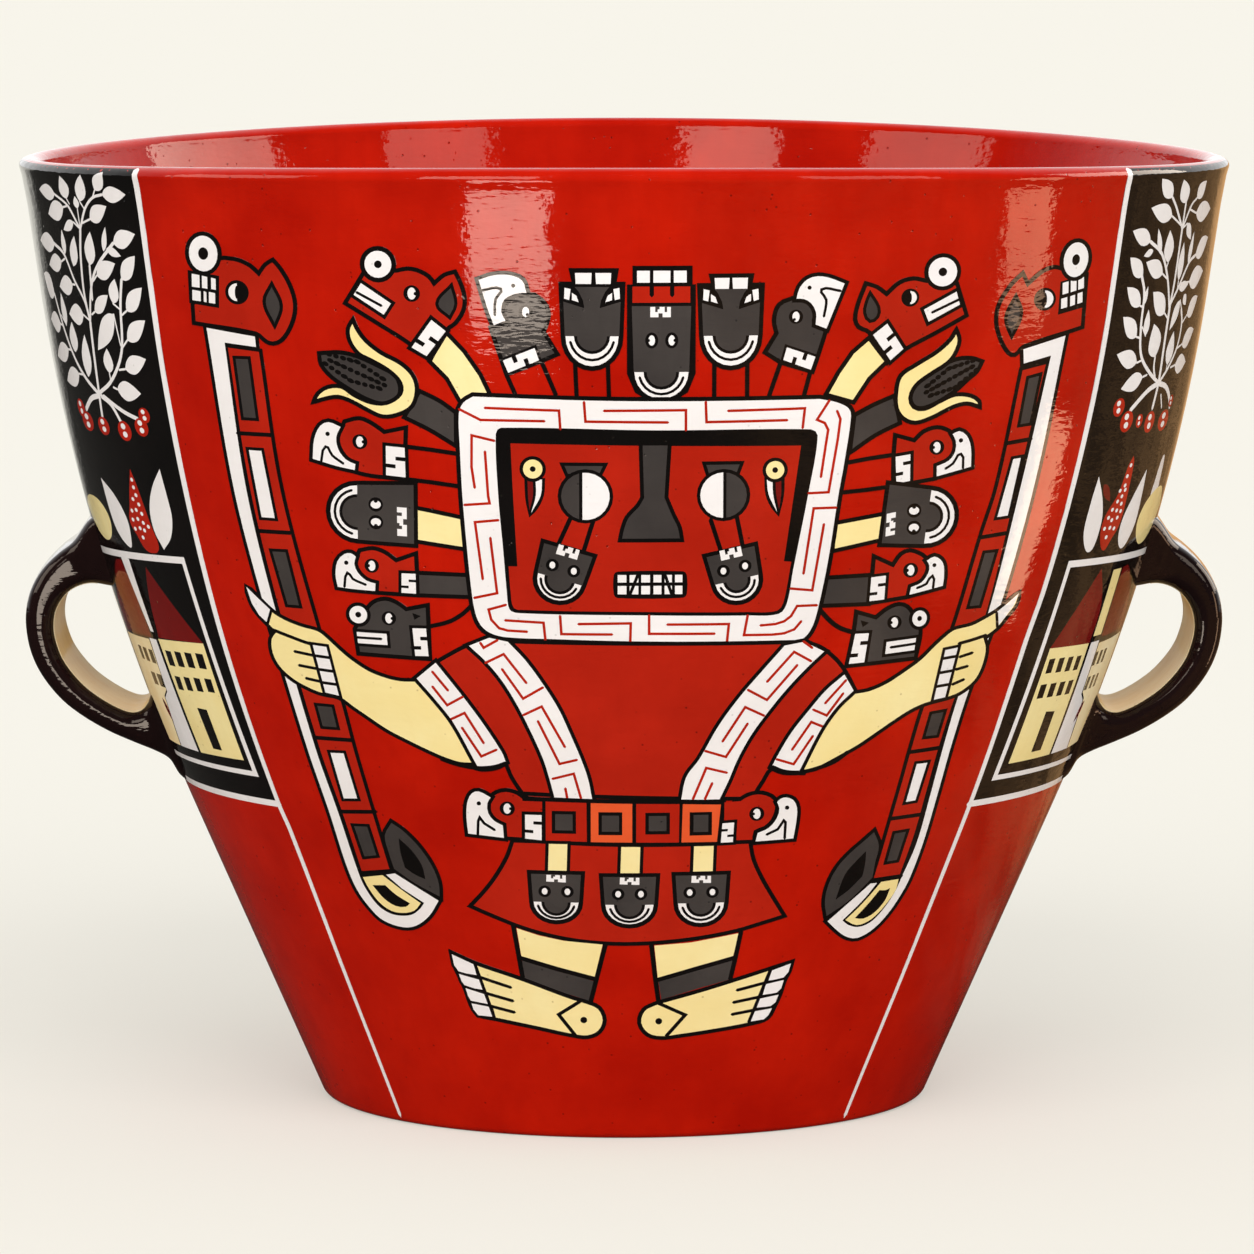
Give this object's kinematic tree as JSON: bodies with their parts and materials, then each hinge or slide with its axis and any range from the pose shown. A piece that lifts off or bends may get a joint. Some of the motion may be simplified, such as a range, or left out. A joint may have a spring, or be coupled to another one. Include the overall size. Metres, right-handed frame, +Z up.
{
  "type": "two-handled ceramic urn",
  "caption": "Large flared open-mouthed urn in painted and clear-glazed earthenware, with a flat base and two vertical strap handles.",
  "frame": {"origin": "middle of the foot, on the surface that the urn stands on", "axes": "+Z up, the two handles along X, the painted front towards -Y"},
  "size_m": [0.7988, 0.7988, 0.6345],
  "materials": {
    "red_glaze": "gloss",
    "bare_clay": "matte",
    "dark_glaze": "gloss",
    "black_paint": "gloss",
    "white_paint": "gloss",
    "yellow_paint": "gloss",
    "grey_paint": "gloss",
    "orange_paint": "gloss",
    "maroon_paint": "gloss",
    "cream_paint": "gloss"
  },
  "bodies": {
    "root": {"base_slab": "bare_clay", "floor_seam_coil": "red_glaze", "lower_wall": "red_glaze", "middle_wall": "red_glaze", "upper_wall": "red_glaze", "rim": "red_glaze", "right_handle_strap": "dark_glaze", "right_upper_root_pad": "dark_glaze", "right_lower_root_pad": "dark_glaze", "left_handle_strap": "dark_glaze", "left_upper_root_pad": "dark_glaze", "left_lower_root_pad": "dark_glaze"}
  },
  "joints": []
}
